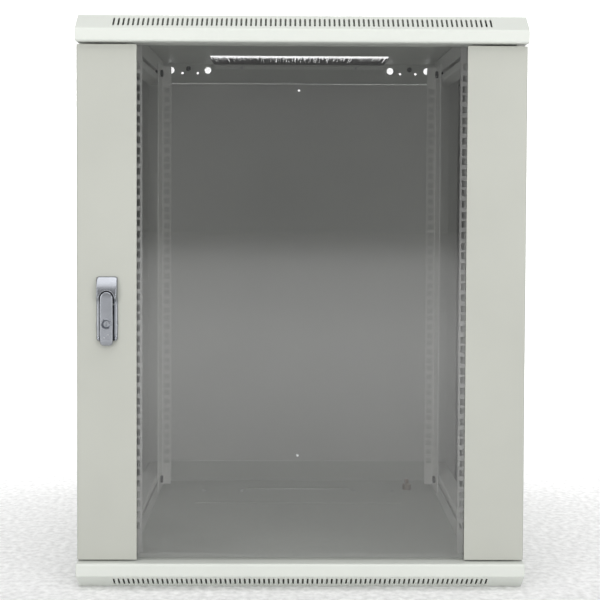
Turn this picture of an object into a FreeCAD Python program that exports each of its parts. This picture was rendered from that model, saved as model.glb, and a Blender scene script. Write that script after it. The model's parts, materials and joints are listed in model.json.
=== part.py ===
import FreeCAD, Part
import os
from math import acos, atan2, cos, degrees, hypot, pi, sin, tan

# A wall-hung 19 inch equipment cabinet: sheet-steel caps and posts, a glass door
# on pins, lift-off side panels and four adjustable mounting rails.
# Millimetres. +X right, +Y to the wall, +Z up, origin under the middle of the base.

os.makedirs("parts", exist_ok=True)
V = FreeCAD.Vector

# ---- driving dimensions -------------------------------------------------------
WIDTH = 600.0
DEPTH = 600.0
HEIGHT = 770.0
RACK_UNITS = 15
RACK_UNIT = 44.45          # standard height of one unit
SHEET = 1.5                # cabinet sheet thickness
BEND = 1.5                 # inside radius of a fold
GAP = 0.3                  # daylight left between parts that slide past each other
WELD_GAP = 0.2             # between a welded post's end and the sheet it stands on

SIDE = WIDTH / 2
FRONT = -DEPTH / 2
REAR = DEPTH / 2

# caps (the folded roof and floor trays)
CAP_HEIGHT = 38.0
BEVEL_DEPTH = 24.0
BEVEL_HEIGHT = 21.0
LEDGE_DEPTH = 52.0
LEDGE_DROP = 30.0
VENT_COUNT = 78
VENT_PITCH = 6.5
VENT_WIDTH = 2.6
VENT_LENGTH = 18.5
CORNER_RADIUS = 1.2        # softened edge along each end wall

# door
DOOR_SETBACK = 11.0
DOOR_THICKNESS = 20.0
DOOR_GAP = 2.5             # above and below the door
STILE_WIDTH = 80.0
STILE_LIP = 12.0
STILE_END = 64.0           # width of the plates that close a stile's ends
GLASS = 4.0
GLASS_WIDTH = 464.0
GLASS_SEAT = 4.0           # door skin front to glass front
HINGE_INSET = 9.0          # pin axis to the door's side edge
HINGE_DEPTH = 12.0         # pin axis to the door's front
PIN_RADIUS = 3.0
BUSH_RADIUS = 5.0
RUNNING = 0.05             # radial clearance of a turning fit

DOOR_FRONT = FRONT + DOOR_SETBACK
DOOR_BACK = DOOR_FRONT + DOOR_THICKNESS
DOOR_BOTTOM = CAP_HEIGHT + DOOR_GAP
DOOR_TOP = HEIGHT - DOOR_BOTTOM
STILE_INNER = SIDE - STILE_WIDTH
GLASS_FRONT = DOOR_FRONT + GLASS_SEAT
HINGE_X = SIDE - HINGE_INSET
HINGE_Y = DOOR_FRONT + HINGE_DEPTH

# posts and depth beams
FRAME_FRONT = DOOR_BACK + 6.0
POST_WEB = 287.0           # outer face of a post's side web
POST_DEPTH = 48.0
POST_FACE = 17.0
BEAM_INNER = 243.0         # face that the rails slide along
BEAM_WIDTH = 25.0
BEAM_HEIGHT = 43.5
BEAM_FRONT = FRONT + LEDGE_DEPTH + 2.0
BEAM_REAR = 256.0
SLOT_HEIGHT = 6.6
SLOT_FRONT = -235.0
SLOT_REAR = 240.0
BOLT_LEVEL = 31.0          # rail bolts above the base and below the roof

# mounting rails
RAIL_OPENING = 450.0
RAIL_HOLE_SPACING = 465.1
RAIL_OUTER = 242.5
RAIL_SHEET = 2.0
RAIL_FLANGE = 60.0
RAIL_END = 16.0
RAIL_HOLE = 9.5
FRONT_RAIL_Y = -190.0
REAR_RAIL_Y = 215.0
BOLT_FROM_FACE = 28.0

# lock on the left stile
LOCK_X = -259.0
LEVER_Z = 392.6            # pivot of the lever
BASE_BOTTOM = 334.6
BASE_TOP = 421.3
BASE_WIDTH = 29.4
BASE_PLATE = 3.1
HOOD_HEIGHT = 9.0
LEVER_RADIUS = 8.5
LEVER_BACK = 3.4
LEVER_FRONT = 10.0
LEVER_END = 329.0
KEY_Z = 358.3
KEY_RADIUS = 5.9
SPINDLE_RADIUS = 6.9
SPINDLE_TOP = -2.3
SPINDLE_END = -34.0
LEVER_PIN = 6.2            # height of the cross pin above the door skin
CAM_LENGTH = 25.5

# side panels and their locks
PANEL_SHEET = 1.2
PANEL_OUTER = 299.5
PANEL_RETURN = 11.0
PANEL_GAP = 1.5
PANEL_FRONT = FRAME_FRONT + 0.5
PANEL_REAR = REAR - 1.5
PANEL_LOCK_Z = 700.0
PANEL_CAM_X = 281.0


# ---- helpers ------------------------------------------------------------------
def box(x, y, z):
    """Block between the two values given for each axis."""
    size = [abs(pair[1] - pair[0]) for pair in (x, y, z)]
    low = [min(pair) for pair in (x, y, z)]
    return Part.makeBox(size[0], size[1], size[2], V(low[0], low[1], low[2]))


def rod(start, direction, radius, length):
    """Cylinder from a start point along a direction."""
    return Part.makeCylinder(radius, length, V(*start), V(*direction))


def mirrored(shape):
    """Same part for the other side of the cabinet."""
    return shape.mirror(V(0, 0, 0), V(1, 0, 0))


def upside_down(shape):
    """Same part for the other end of the cabinet's height."""
    return shape.mirror(V(0, 0, HEIGHT / 2), V(0, 0, 1))


def unit(start, end):
    """Direction of travel from one flat point to the next."""
    length = hypot(end[0] - start[0], end[1] - start[1])
    return ((end[0] - start[0]) / length, (end[1] - start[1]) / length)


def shifted_path(path, distance):
    """Open flat path moved to its left by a distance, with mitred corners."""
    moved = []
    for index, point in enumerate(path):
        steps = []
        if index > 0:
            steps.append(unit(path[index - 1], point))
        if index < len(path) - 1:
            steps.append(unit(point, path[index + 1]))
        across = -sum(step[1] for step in steps)
        along = sum(step[0] for step in steps)
        scale = distance * len(steps) / (across ** 2 + along ** 2)
        moved.append((point[0] + across * scale, point[1] + along * scale))
    return moved


def rounded_face(corners, radii, place):
    """Flat face whose corners are rounded; place() puts a flat point in space."""
    arcs = {}
    ends = []
    for index, corner in enumerate(corners):
        back = unit(corner, corners[index - 1])
        ahead = unit(corner, corners[(index + 1) % len(corners)])
        radius = radii[index]
        if radius == 0:
            ends.append((corner, corner))
            continue
        half = acos(max(-1.0, min(1.0, back[0] * ahead[0] + back[1] * ahead[1]))) / 2
        reach = radius / tan(half)
        start = (corner[0] + back[0] * reach, corner[1] + back[1] * reach)
        end = (corner[0] + ahead[0] * reach, corner[1] + ahead[1] * reach)
        inward = unit((0, 0), (back[0] + ahead[0], back[1] + ahead[1]))
        depth = radius / sin(half) - radius
        middle = (corner[0] + inward[0] * depth, corner[1] + inward[1] * depth)
        arcs[index] = Part.Arc(place(*start), place(*middle), place(*end)).toShape()
        ends.append((start, end))
    chain = []
    for index in range(len(corners)):
        if index in arcs:
            chain.append(arcs[index])
        leave = place(*ends[index][1])
        arrive = place(*ends[(index + 1) % len(corners)][0])
        if leave.distanceToPoint(arrive) > 1e-6:
            chain.append(Part.LineSegment(leave, arrive).toShape())
    return Part.Face(Part.Wire(chain))


def folded(path, thickness, place, sweep):
    """Folded sheet: a path of fold lines, thickened to its left and swept."""
    inner = shifted_path(path, thickness)
    near = [0.0]
    far = [0.0]
    for index in range(1, len(path) - 1):
        before = unit(path[index - 1], path[index])
        after = unit(path[index], path[index + 1])
        turns_left = before[0] * after[1] - before[1] * after[0] > 0
        near.append(BEND + thickness if turns_left else BEND)
        far.append(BEND if turns_left else BEND + thickness)
    near.append(0.0)
    far.append(0.0)
    face = rounded_face(path + inner[::-1], near + far[::-1], place)
    return face.extrude(sweep)


def upright_sheet(path, z_low, z_high):
    """Folded sheet with its section in plan."""
    return folded(path, SHEET, lambda x, y: V(x, y, z_low), V(0, 0, z_high - z_low))


def ring(centre, direction, outer, inner, height):
    """Washer, spacer or bush."""
    return rod(centre, direction, outer, height).cut(rod(centre, direction, inner, height))


def hexagon(centre, direction, flats, height):
    """Hexagonal prism with a given distance across its flats."""
    radius = flats / 2 / cos(pi / 6)
    corners = [V(radius * cos(pi / 3 * turn), radius * sin(pi / 3 * turn), 0) for turn in range(7)]
    solid = Part.Face(Part.makePolygon(corners)).extrude(V(0, 0, height))
    solid.Placement = FreeCAD.Placement(V(*centre), FreeCAD.Rotation(V(0, 0, 1), V(*direction)))
    return solid


def save(name, *solids):
    """Write one node's solids to its own file."""
    shape = solids[0] if len(solids) == 1 else Part.makeCompound(list(solids))
    shape.exportStep("parts/" + name + ".step")
    print(name, len(shape.Solids), "solid", "valid" if shape.isValid() else "NOT VALID")


SCREW_RADIUS = 2.0          # the small screws used all over the cabinet
SCREW_HEAD_RADIUS = 4.0
LOW_HEAD = 1.6              # height of a low screw head


# ---- caps ---------------------------------------------------------------------
def vent_slots():
    """Cutters for the row of vents through the lower bevel."""
    half_length = VENT_LENGTH / 2
    half_width = VENT_WIDTH / 2
    corners = [(-half_width, -half_length), (half_width, -half_length),
               (half_width, half_length), (-half_width, half_length)]
    through = 8.0
    slot = rounded_face(corners, [half_width] * 4, lambda x, y: V(x, y, -through / 2))
    slot = slot.extrude(V(0, 0, through))
    slot.rotate(V(0, 0, 0), V(1, 0, 0), -degrees(atan2(BEVEL_HEIGHT, BEVEL_DEPTH)))
    slot.translate(V(0, FRONT + BEVEL_DEPTH / 2, BEVEL_HEIGHT / 2))
    first = -VENT_PITCH * (VENT_COUNT - 1) / 2
    slots = []
    for number in range(VENT_COUNT):
        copy = slot.copy()
        copy.translate(V(first + number * VENT_PITCH, 0, 0))
        slots.append(copy)
    return slots


def cap_tray():
    """Floor tray: ledge, face, vented bevel, flat, rear flange and end walls."""
    ledge_back = FRONT + LEDGE_DEPTH
    bevel_back = FRONT + BEVEL_DEPTH
    path = [(ledge_back, CAP_HEIGHT - LEDGE_DROP), (ledge_back, CAP_HEIGHT),
            (FRONT, CAP_HEIGHT), (FRONT, BEVEL_HEIGHT), (bevel_back, 0),
            (REAR, 0), (REAR, CAP_HEIGHT)]
    sheet = folded(path, SHEET, lambda y, z: V(-SIDE, y, z), V(WIDTH, 0, 0))
    outer = [(FRONT, CAP_HEIGHT), (FRONT, BEVEL_HEIGHT), (bevel_back, 0),
             (REAR, 0), (REAR, CAP_HEIGHT)]
    radii = [BEND + SHEET] * 4 + [0]
    wall = rounded_face(outer, radii, lambda y, z: V(SIDE - SHEET, y, z))
    wall = wall.extrude(V(SHEET, 0, 0))
    tray = sheet.fuse([wall, mirrored(wall)]).removeSplitter()
    rim = [edge for edge in tray.Edges
           if abs(edge.BoundBox.XMin) > SIDE - 0.01 and edge.BoundBox.XLength < 0.01
           and edge.BoundBox.ZMin < CAP_HEIGHT - 0.01]
    return tray.makeFillet(CORNER_RADIUS, rim).cut(vent_slots())


def hinge_hole(level):
    """Cutter for a hinge bush in the ledge at one height."""
    return rod((HINGE_X, HINGE_Y, level), (0, 0, 1), BUSH_RADIUS, 6 * SHEET)


FLOOR_CUTOUT_X = 92.0
FLOOR_CUTOUT_Y = (160.0, 243.0)
STUD_X = 196.0
STUD_Y = 238.0
STUD_RADIUS = 4.0


def bottom_cap():
    """Floor tray with its cable slot and the earth stud's hole."""
    cap = cap_tray()
    cutout = box((-FLOOR_CUTOUT_X, FLOOR_CUTOUT_X), FLOOR_CUTOUT_Y, (-1, 2 * SHEET))
    stud_hole = rod((STUD_X, STUD_Y, -1), (0, 0, 1), STUD_RADIUS, 3 * SHEET)
    return cap.cut([cutout, stud_hole, hinge_hole(CAP_HEIGHT - 3 * SHEET)])


ROOF_CUTOUT_X = 155.0
ROOF_CUTOUT_Y = (176.0, 290.0)
WALL_HOLE_RADIUS = 6.0
WALL_HOLE_DROP = 14.0
WALL_HOLES_INNER = 333.0
WALL_HOLES_OUTER = 467.2
SMALL_HOLE_RADIUS = 2.2
SMALL_HOLE_DROP = 19.0
SMALL_HOLES = (185.0, 213.0)
RIVET_X = 202.0
RIVET_DROP = 11.0
RIVET_RADIUS = 2.4
RIVET_HEAD_RADIUS = 4.5
RIVET_HEAD = 1.4
BRUSH_SCREW_X = 104.0       # the screws that hold the cable brush
BRUSH_SCREW_DROP = 9.2


def rear_flange_hole(x, drop, radius):
    """Cutter through the roof's rear flange, a drop below the roof."""
    return rod((x, REAR - 3 * SHEET, HEIGHT - drop), (0, 1, 0), radius, 6 * SHEET)


def top_cap():
    """Roof tray with its brush cut-out, wall holes and hinge hole."""
    cap = upside_down(cap_tray())
    cutters = [box((-ROOF_CUTOUT_X, ROOF_CUTOUT_X), ROOF_CUTOUT_Y,
                   (HEIGHT - 2 * SHEET, HEIGHT + 1))]
    cutters.append(hinge_hole(HEIGHT - CAP_HEIGHT - 3 * SHEET))
    for side in (-1, 1):
        for spacing in (WALL_HOLES_INNER, WALL_HOLES_OUTER):
            cutters.append(rear_flange_hole(side * spacing / 2, WALL_HOLE_DROP, WALL_HOLE_RADIUS))
        for x in SMALL_HOLES:
            cutters.append(rear_flange_hole(side * x, SMALL_HOLE_DROP, SMALL_HOLE_RADIUS))
        cutters.append(rear_flange_hole(side * RIVET_X, RIVET_DROP, RIVET_RADIUS))
        cutters.append(rear_flange_hole(side * BRUSH_SCREW_X, BRUSH_SCREW_DROP, SCREW_RADIUS))
    return cap.cut(cutters)


def flange_rivet(side):
    """Blind rivet that stiffens the rear flange between its wall holes."""
    level = HEIGHT - RIVET_DROP
    inside = REAR - SHEET
    head = rod((side * RIVET_X, inside, level), (0, -1, 0), RIVET_HEAD_RADIUS, RIVET_HEAD)
    return head.fuse(rod((side * RIVET_X, inside, level), (0, 1, 0), RIVET_RADIUS, SHEET))


save("top_cap", top_cap())
save("bottom_cap", bottom_cap())
save("rear_flange_rivets", flange_rivet(-1), flange_rivet(1))

# ---- back, posts and depth beams ------------------------------------------------
BACK_FACE = REAR - 1.0      # outer face of the back panel
PANEL_SCREW_X = 276.0
PANEL_SCREW_LEVELS = (70.0, 280.0, 490.0, 700.0)
PANEL_SCREW_LENGTH = 8.0
DRAIN_RADIUS = 2.0
DRAIN_LEVELS = (48.0, 720.0)


def back_panel():
    """Flat back sheet between the caps, with screw holes and two drain holes."""
    edge_gap = 0.4
    sheet = box((-POST_WEB, POST_WEB), (BACK_FACE - SHEET, BACK_FACE),
                (CAP_HEIGHT + edge_gap, HEIGHT - CAP_HEIGHT - edge_gap))
    holes = []
    for level in PANEL_SCREW_LEVELS:
        for side in (-1, 1):
            start = (side * PANEL_SCREW_X, BACK_FACE - 3 * SHEET, level)
            holes.append(rod(start, (0, 1, 0), SCREW_RADIUS, 5 * SHEET))
    for level in DRAIN_LEVELS:
        holes.append(rod((0, BACK_FACE - 3 * SHEET, level), (0, 1, 0), DRAIN_RADIUS, 5 * SHEET))
    return sheet.cut(holes)


def back_panel_screws():
    """Pan-head screws through the back panel into the rear posts."""
    screws = []
    head_height = REAR - BACK_FACE
    for level in PANEL_SCREW_LEVELS:
        for side in (-1, 1):
            start = (side * PANEL_SCREW_X, BACK_FACE, level)
            head = rod(start, (0, 1, 0), SCREW_HEAD_RADIUS, head_height)
            screws.append(head.fuse(rod(start, (0, -1, 0), SCREW_RADIUS, PANEL_SCREW_LENGTH)))
    return screws


def front_post():
    """Right front post: a face, a side web and a return lip."""
    path = [(POST_WEB - POST_FACE, FRAME_FRONT), (POST_WEB, FRAME_FRONT),
            (POST_WEB, FRAME_FRONT + POST_DEPTH), (POST_WEB - POST_FACE, FRAME_FRONT + POST_DEPTH)]
    return upright_sheet(path, CAP_HEIGHT, HEIGHT - CAP_HEIGHT)


def rear_post():
    """Right rear post, floor to roof: lip, side web and a flange for the back."""
    rear = BACK_FACE - SHEET
    front = BEAM_REAR + 2.0
    flange = 30.0
    path = [(POST_WEB - POST_FACE, front), (POST_WEB, front),
            (POST_WEB, rear), (POST_WEB - flange, rear)]
    post = upright_sheet(path, SHEET + WELD_GAP, HEIGHT - SHEET - WELD_GAP)
    holes = []
    for level in PANEL_SCREW_LEVELS:
        holes.append(rod((PANEL_SCREW_X, rear - 3 * SHEET, level), (0, 1, 0), SCREW_RADIUS, 4 * SHEET))
    return post.cut(holes)


def cam_notch():
    """Notch in the left front post that the lock's cam swings through."""
    clear = 12.0
    inside = POST_WEB - SHEET - BEND
    return box((-inside, -inside + POST_FACE), (FRAME_FRONT - 1, FRAME_FRONT + SHEET + 1),
               (LEVER_Z - clear, LEVER_Z + clear))


def depth_beam():
    """Lower right depth beam: a channel with a slot that the rail bolts slide in."""
    outer = BEAM_INNER + BEAM_WIDTH
    top = SHEET + BEAM_HEIGHT
    path = [(outer, top), (BEAM_INNER, top), (BEAM_INNER, SHEET), (outer, SHEET)]
    beam = folded(path, SHEET, lambda x, z: V(x, BEAM_FRONT, z), V(0, BEAM_REAR - BEAM_FRONT, 0))
    half = SLOT_HEIGHT / 2
    corners = [(SLOT_FRONT, BOLT_LEVEL - half), (SLOT_REAR, BOLT_LEVEL - half),
               (SLOT_REAR, BOLT_LEVEL + half), (SLOT_FRONT, BOLT_LEVEL + half)]
    slot = rounded_face(corners, [half] * 4, lambda y, z: V(BEAM_INNER - 1, y, z))
    return beam.cut(slot.extrude(V(2 * SHEET + 1, 0, 0)))


save("back_panel", back_panel())
save("back_panel_screws", *back_panel_screws())
save("right_front_post", front_post())
save("left_front_post", mirrored(front_post()).cut(cam_notch()))
save("right_rear_post", rear_post())
save("left_rear_post", mirrored(rear_post()))
save("lower_right_beam", depth_beam())
save("lower_left_beam", mirrored(depth_beam()))
save("upper_right_beam", upside_down(depth_beam()))
save("upper_left_beam", mirrored(upside_down(depth_beam())))

# ---- cable entries --------------------------------------------------------------
BRUSH_BACK = 10.0           # how far the brush's channel reaches under the roof
BRUSH_CHANNEL = 4.5
BRUSH_LIP = 10.0            # height of the leg that is screwed to the rear flange
BRUSH_SHEET = 1.2
BRUSH_HEAD_RADIUS = 2.4
BRUSH_HEAD = 1.2
BRISTLE_THICKNESS = 3.0
BRISTLE_GAP = 5.5           # from the bristle tips to the cut-out's front edge
BRUSH_HALF = ROOF_CUTOUT_X - 1.0
BRUSH_REAR = REAR - SHEET - GAP
BRUSH_FRONT = ROOF_CUTOUT_Y[1] - BRUSH_BACK


def brush_holder():
    """Channel behind the roof cut-out that clamps the bristles' roots."""
    under = HEIGHT - SHEET - GAP
    wide = (-BRUSH_HALF, BRUSH_HALF)
    channel = box(wide, (BRUSH_FRONT, BRUSH_REAR - BRUSH_SHEET + 0.2), (under - BRUSH_CHANNEL, under))
    lip = box(wide, (BRUSH_REAR - BRUSH_SHEET, BRUSH_REAR), (under - BRUSH_LIP, under - BEND))
    holder = channel.fuse(lip).removeSplitter()
    holes = [brush_screw_hole(side) for side in (-1, 1)]
    return holder.cut(holes)


def brush_screw_hole(side):
    """Place of a brush screw through the lip and the roof's rear flange."""
    start = (side * BRUSH_SCREW_X, BRUSH_REAR - BRUSH_SHEET, HEIGHT - BRUSH_SCREW_DROP)
    return rod(start, (0, 1, 0), SCREW_RADIUS, BRUSH_SHEET + GAP + SHEET)


def brush_screw(side):
    """Low screw that holds the brush's channel to the rear flange."""
    start = (side * BRUSH_SCREW_X, BRUSH_REAR - BRUSH_SHEET, HEIGHT - BRUSH_SCREW_DROP)
    head = rod(start, (0, -1, 0), BRUSH_HEAD_RADIUS, BRUSH_HEAD)
    return head.fuse(brush_screw_hole(side))


def bristles():
    """Row of bristles from the channel nearly to the cut-out's front edge."""
    low = HEIGHT - SHEET - GAP - (BRUSH_CHANNEL + BRISTLE_THICKNESS) / 2
    return box((-BRUSH_HALF, BRUSH_HALF), (ROOF_CUTOUT_Y[0] + BRISTLE_GAP, BRUSH_FRONT),
               (low, low + BRISTLE_THICKNESS))


COVER_X = 176.0
COVER_FRONT = 140.0
COVER_REAR = 240.0
COVER_BOW = 12.0
COVER_SHEET = 1.2
COVER_SCREWS = (99.0, 167.0)
COVER_SCREW_Y = 219.0


def floor_cover():
    """Cover plate over the floor cut-out, bowed at its rear edge to leave a slot."""
    ends = [V(-COVER_X, COVER_REAR, SHEET), V(-COVER_X, COVER_FRONT, SHEET),
            V(COVER_X, COVER_FRONT, SHEET), V(COVER_X, COVER_REAR, SHEET)]
    bow = Part.Arc(ends[3], V(0, COVER_REAR - COVER_BOW, SHEET), ends[0]).toShape()
    edges = [bow]
    for start, end in zip(ends[:-1], ends[1:]):
        edges.append(Part.LineSegment(start, end).toShape())
    plate = Part.Face(Part.Wire(edges)).extrude(V(0, 0, COVER_SHEET))
    holes = [rod((side * x, COVER_SCREW_Y, 0), (0, 0, 1), SCREW_RADIUS, 6)
             for x in COVER_SCREWS for side in (-1, 1)]
    return plate.cut(holes)


def floor_cover_screws():
    """Low screws that hold the floor cover."""
    screws = []
    for x in COVER_SCREWS:
        for side in (-1, 1):
            start = (side * x, COVER_SCREW_Y, SHEET + COVER_SHEET)
            head = rod(start, (0, 0, 1), SCREW_HEAD_RADIUS, LOW_HEAD)
            screws.append(head.fuse(rod(start, (0, 0, -1), SCREW_RADIUS, COVER_SHEET)))
    return screws


save("brush_holder", brush_holder())
save("brush_screws", brush_screw(-1), brush_screw(1))
save("brush_bristles", bristles())
save("floor_cover", floor_cover())
save("floor_cover_screws", *floor_cover_screws())

# ---- earth stud -----------------------------------------------------------------
STUD_HEIGHT = 20.0
STUD_NUT_HEIGHT = 6.5
STUD_NUT_FLATS = 13.0


def earth_fasteners():
    """Two washers and a nut that clamp an earth lead on the stud."""
    washer_height = 1.6
    washer_radius = 8.0
    level = SHEET
    parts = []
    for _ in range(2):
        parts.append(ring((STUD_X, STUD_Y, level), (0, 0, 1), washer_radius, STUD_RADIUS, washer_height))
        level += washer_height
    nut = hexagon((STUD_X, STUD_Y, level), (0, 0, 1), STUD_NUT_FLATS, STUD_NUT_HEIGHT)
    parts.append(nut.cut(rod((STUD_X, STUD_Y, 0), (0, 0, 1), STUD_RADIUS, STUD_HEIGHT)))
    return parts


save("earth_stud", rod((STUD_X, STUD_Y, 0), (0, 0, 1), STUD_RADIUS, STUD_HEIGHT))
save("earth_fasteners", *earth_fasteners())


# ---- mounting rails ---------------------------------------------------------------
HOLE_OFFSETS = (6.35, 22.225, 38.1)   # the three holes of a rack unit, from its lower edge
BOLT_RADIUS = 3.0
BOLT_PLAY = 0.2
BOLT_HEAD_RADIUS = 6.0
BOLT_HEAD = 4.0
BOLT_LENGTH = 12.0
SOCKET_FLATS = 5.0
SOCKET_DEPTH = 2.2
NUT_FLATS = 10.0
NUT_HEIGHT = 5.0


def rail(front_rail):
    """Right-hand rail: a drilled face and a flange that bolts to the depth beams."""
    face_y = FRONT_RAIL_Y if front_rail else REAR_RAIL_Y
    toward_middle = 1 if front_rail else -1
    inner = RAIL_OPENING / 2
    height = (RAIL_END, HEIGHT - RAIL_END)
    back_y = face_y + RAIL_SHEET
    face = box((inner, RAIL_OUTER), (face_y, back_y), height)
    root = face_y if front_rail else back_y
    flange = box((RAIL_OUTER - RAIL_SHEET, RAIL_OUTER), (root, root + toward_middle * RAIL_FLANGE), height)
    shape = face.fuse(flange).removeSplitter()
    first = (HEIGHT - RACK_UNITS * RACK_UNIT) / 2
    half = RAIL_HOLE / 2
    hole_x = RAIL_HOLE_SPACING / 2
    cutters = []
    for number in range(RACK_UNITS):
        for offset in HOLE_OFFSETS:
            level = first + number * RACK_UNIT + offset
            cutters.append(box((hole_x - half, hole_x + half), (face_y - 1, back_y + 1),
                               (level - half, level + half)))
    bolt_y = root + toward_middle * BOLT_FROM_FACE
    for level in (BOLT_LEVEL, HEIGHT - BOLT_LEVEL):
        start = (RAIL_OUTER - 2 * RAIL_SHEET, bolt_y, level)
        cutters.append(rod(start, (1, 0, 0), BOLT_RADIUS + BOLT_PLAY, 3 * RAIL_SHEET))
    return shape.cut(cutters), bolt_y


def rail_fixings(bolt_y):
    """Bolts and nuts that clamp one rail to its two depth beams."""
    parts = []
    under_head = RAIL_OUTER - RAIL_SHEET
    nut_x = BEAM_INNER + SHEET
    for level in (BOLT_LEVEL, HEIGHT - BOLT_LEVEL):
        shank = rod((under_head, bolt_y, level), (1, 0, 0), BOLT_RADIUS, BOLT_LENGTH)
        head = rod((under_head, bolt_y, level), (-1, 0, 0), BOLT_HEAD_RADIUS, BOLT_HEAD)
        socket = hexagon((under_head - BOLT_HEAD, bolt_y, level), (1, 0, 0), SOCKET_FLATS, SOCKET_DEPTH)
        parts.append(head.cut(socket).fuse(shank))
        nut = hexagon((nut_x + GAP, bolt_y, level), (1, 0, 0), NUT_FLATS, NUT_HEIGHT)
        parts.append(nut.cut(rod((nut_x, bolt_y, level), (1, 0, 0), BOLT_RADIUS, BOLT_LENGTH)))
    return parts


for front_rail, place_name in ((True, "front"), (False, "rear")):
    shape, bolt_y = rail(front_rail)
    fixings = rail_fixings(bolt_y)
    save(place_name + "_right_rail", shape)
    save(place_name + "_left_rail", mirrored(shape))
    save(place_name + "_right_rail_fixings", *fixings)
    save(place_name + "_left_rail_fixings", *[mirrored(part) for part in fixings])


# ---- door -------------------------------------------------------------------------
BOSS_RADIUS = 11.0
CLAMP_SCREW_LEVELS = (344.0, 412.0)


def stile():
    """Right-hand stile: a folded pan with closed ends."""
    path = [(STILE_INNER, DOOR_FRONT), (SIDE, DOOR_FRONT), (SIDE, DOOR_BACK),
            (SIDE - STILE_LIP, DOOR_BACK)]
    pan = upright_sheet(path, DOOR_BOTTOM, DOOR_TOP)
    corners = [(SIDE - STILE_END, DOOR_FRONT), (SIDE, DOOR_FRONT),
               (SIDE, DOOR_BACK), (SIDE - STILE_END, DOOR_BACK)]
    radii = [0, BEND + SHEET, BEND + SHEET, 0]
    end = rounded_face(corners, radii, lambda x, y: V(x, y, DOOR_BOTTOM)).extrude(V(0, 0, SHEET))
    return pan.fuse([end, upside_down(end)]).removeSplitter()


def hinge_stile():
    """Stile with holes for the hinge pins through its ends."""
    bore = PIN_RADIUS + RUNNING
    through = rod((HINGE_X, HINGE_Y, DOOR_BOTTOM - 1), (0, 0, 1), bore, SHEET + 2)
    return stile().cut([through, upside_down(through)])


def lock_stile():
    """Stile with the lock's boss hole and its two screw holes."""
    cutters = [rod((LOCK_X, DOOR_FRONT - 1, LEVER_Z), (0, 1, 0), BOSS_RADIUS, SHEET + 2)]
    for level in CLAMP_SCREW_LEVELS:
        cutters.append(rod((LOCK_X, DOOR_FRONT - 1, level), (0, 1, 0), SCREW_RADIUS, SHEET + 2))
    return mirrored(stile()).cut(cutters)


GLASS_BOTTOM = DOOR_BOTTOM + 0.6
SEAL_CLEAR = 2.0
CLAMP_SHEET = 1.0


def glass_pane():
    """Toughened pane between the stiles."""
    half = GLASS_WIDTH / 2
    return box((-half, half), (GLASS_FRONT, GLASS_FRONT + GLASS),
               (GLASS_BOTTOM, HEIGHT - GLASS_BOTTOM))


def glass_seal():
    """Rubber strip between the right stile's skin and the pane."""
    low = GLASS_BOTTOM + SEAL_CLEAR
    return box((STILE_INNER + 0.4, GLASS_WIDTH / 2), (DOOR_FRONT + SHEET, GLASS_FRONT),
               (low, HEIGHT - low))


def glass_clamp():
    """Strip behind the right edge of the pane that holds it to the stile."""
    behind = GLASS_FRONT + GLASS + CLAMP_SHEET
    skin = DOOR_FRONT + SHEET + CLAMP_SHEET
    step = GLASS_WIDTH / 2 + 5.0
    foot = 8.0
    overlap = 3.0
    path = [(step + foot, skin), (step, skin), (step, behind), (STILE_INNER + overlap, behind)]
    low = GLASS_BOTTOM + 2 * SEAL_CLEAR
    return folded(path, -CLAMP_SHEET, lambda x, y: V(x, y, low), V(0, 0, HEIGHT - 2 * low))


def door_seal():
    """Foam strip on the right front post's face."""
    low = CAP_HEIGHT + SEAL_CLEAR
    face_x = POST_WEB - POST_FACE
    width = 10.0
    just_clear = 0.1
    return box((face_x, face_x + width), (DOOR_BACK + just_clear, FRAME_FRONT), (low, HEIGHT - low))


save("hinge_stile", hinge_stile())
save("lock_stile", lock_stile())
save("glass_pane", glass_pane())
save("glass_seal", glass_seal(), mirrored(glass_seal()))
save("glass_clamps", glass_clamp(), mirrored(glass_clamp()))
save("door_seal", door_seal(), mirrored(door_seal()).cut(cam_notch()))

# ---- door hinges --------------------------------------------------------------------
BRACKET_X = (HINGE_X - 7.5, SIDE - SHEET - BEND)
BRACKET_Y = (HINGE_Y - 7.0, DOOR_BACK - SHEET)
UPPER_LUG = (716.0, DOOR_TOP - SHEET)
LOWER_LUG = (676.0, 680.0)
COLLAR = (712.5, 715.7)
PIN_TOP = HEIGHT - CAP_HEIGHT + 6.0
PIN_TAIL = 4.0
ARM_RADIUS = 1.5
ARM_LENGTH = 24.0
SPRING_WIRE = 0.5
SPRING_TURNS = 8
BUSH_LENGTH = 7.0
LOWER_BLOCK = 16.0


def upper_hinge_bracket():
    """Two lugs on a web that guide the sprung pin."""
    lugs = [box(BRACKET_X, BRACKET_Y, level) for level in (UPPER_LUG, LOWER_LUG)]
    web = box(BRACKET_X, (BRACKET_Y[1] - SHEET, BRACKET_Y[1]), (LOWER_LUG[0], UPPER_LUG[1]))
    height = UPPER_LUG[1] - LOWER_LUG[0]
    bore = rod((HINGE_X, HINGE_Y, LOWER_LUG[0] - 1), (0, 0, 1), PIN_RADIUS + RUNNING, height + 2)
    return lugs[0].fuse([lugs[1], web]).removeSplitter().cut(bore)


def upper_hinge_pin():
    """Sprung pin with its collar and the finger arm that pulls it down."""
    low = LOWER_LUG[0] - PIN_TAIL
    arm_level = (COLLAR[0] + COLLAR[1]) / 2
    pin = rod((HINGE_X, HINGE_Y, low), (0, 0, 1), PIN_RADIUS, PIN_TOP - low)
    collar = rod((HINGE_X, HINGE_Y, COLLAR[0]), (0, 0, 1), BUSH_RADIUS, COLLAR[1] - COLLAR[0])
    arm = rod((HINGE_X, HINGE_Y, arm_level), (-1, 0, 0), ARM_RADIUS, ARM_LENGTH)
    return pin.fuse([collar, arm]).removeSplitter()


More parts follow.
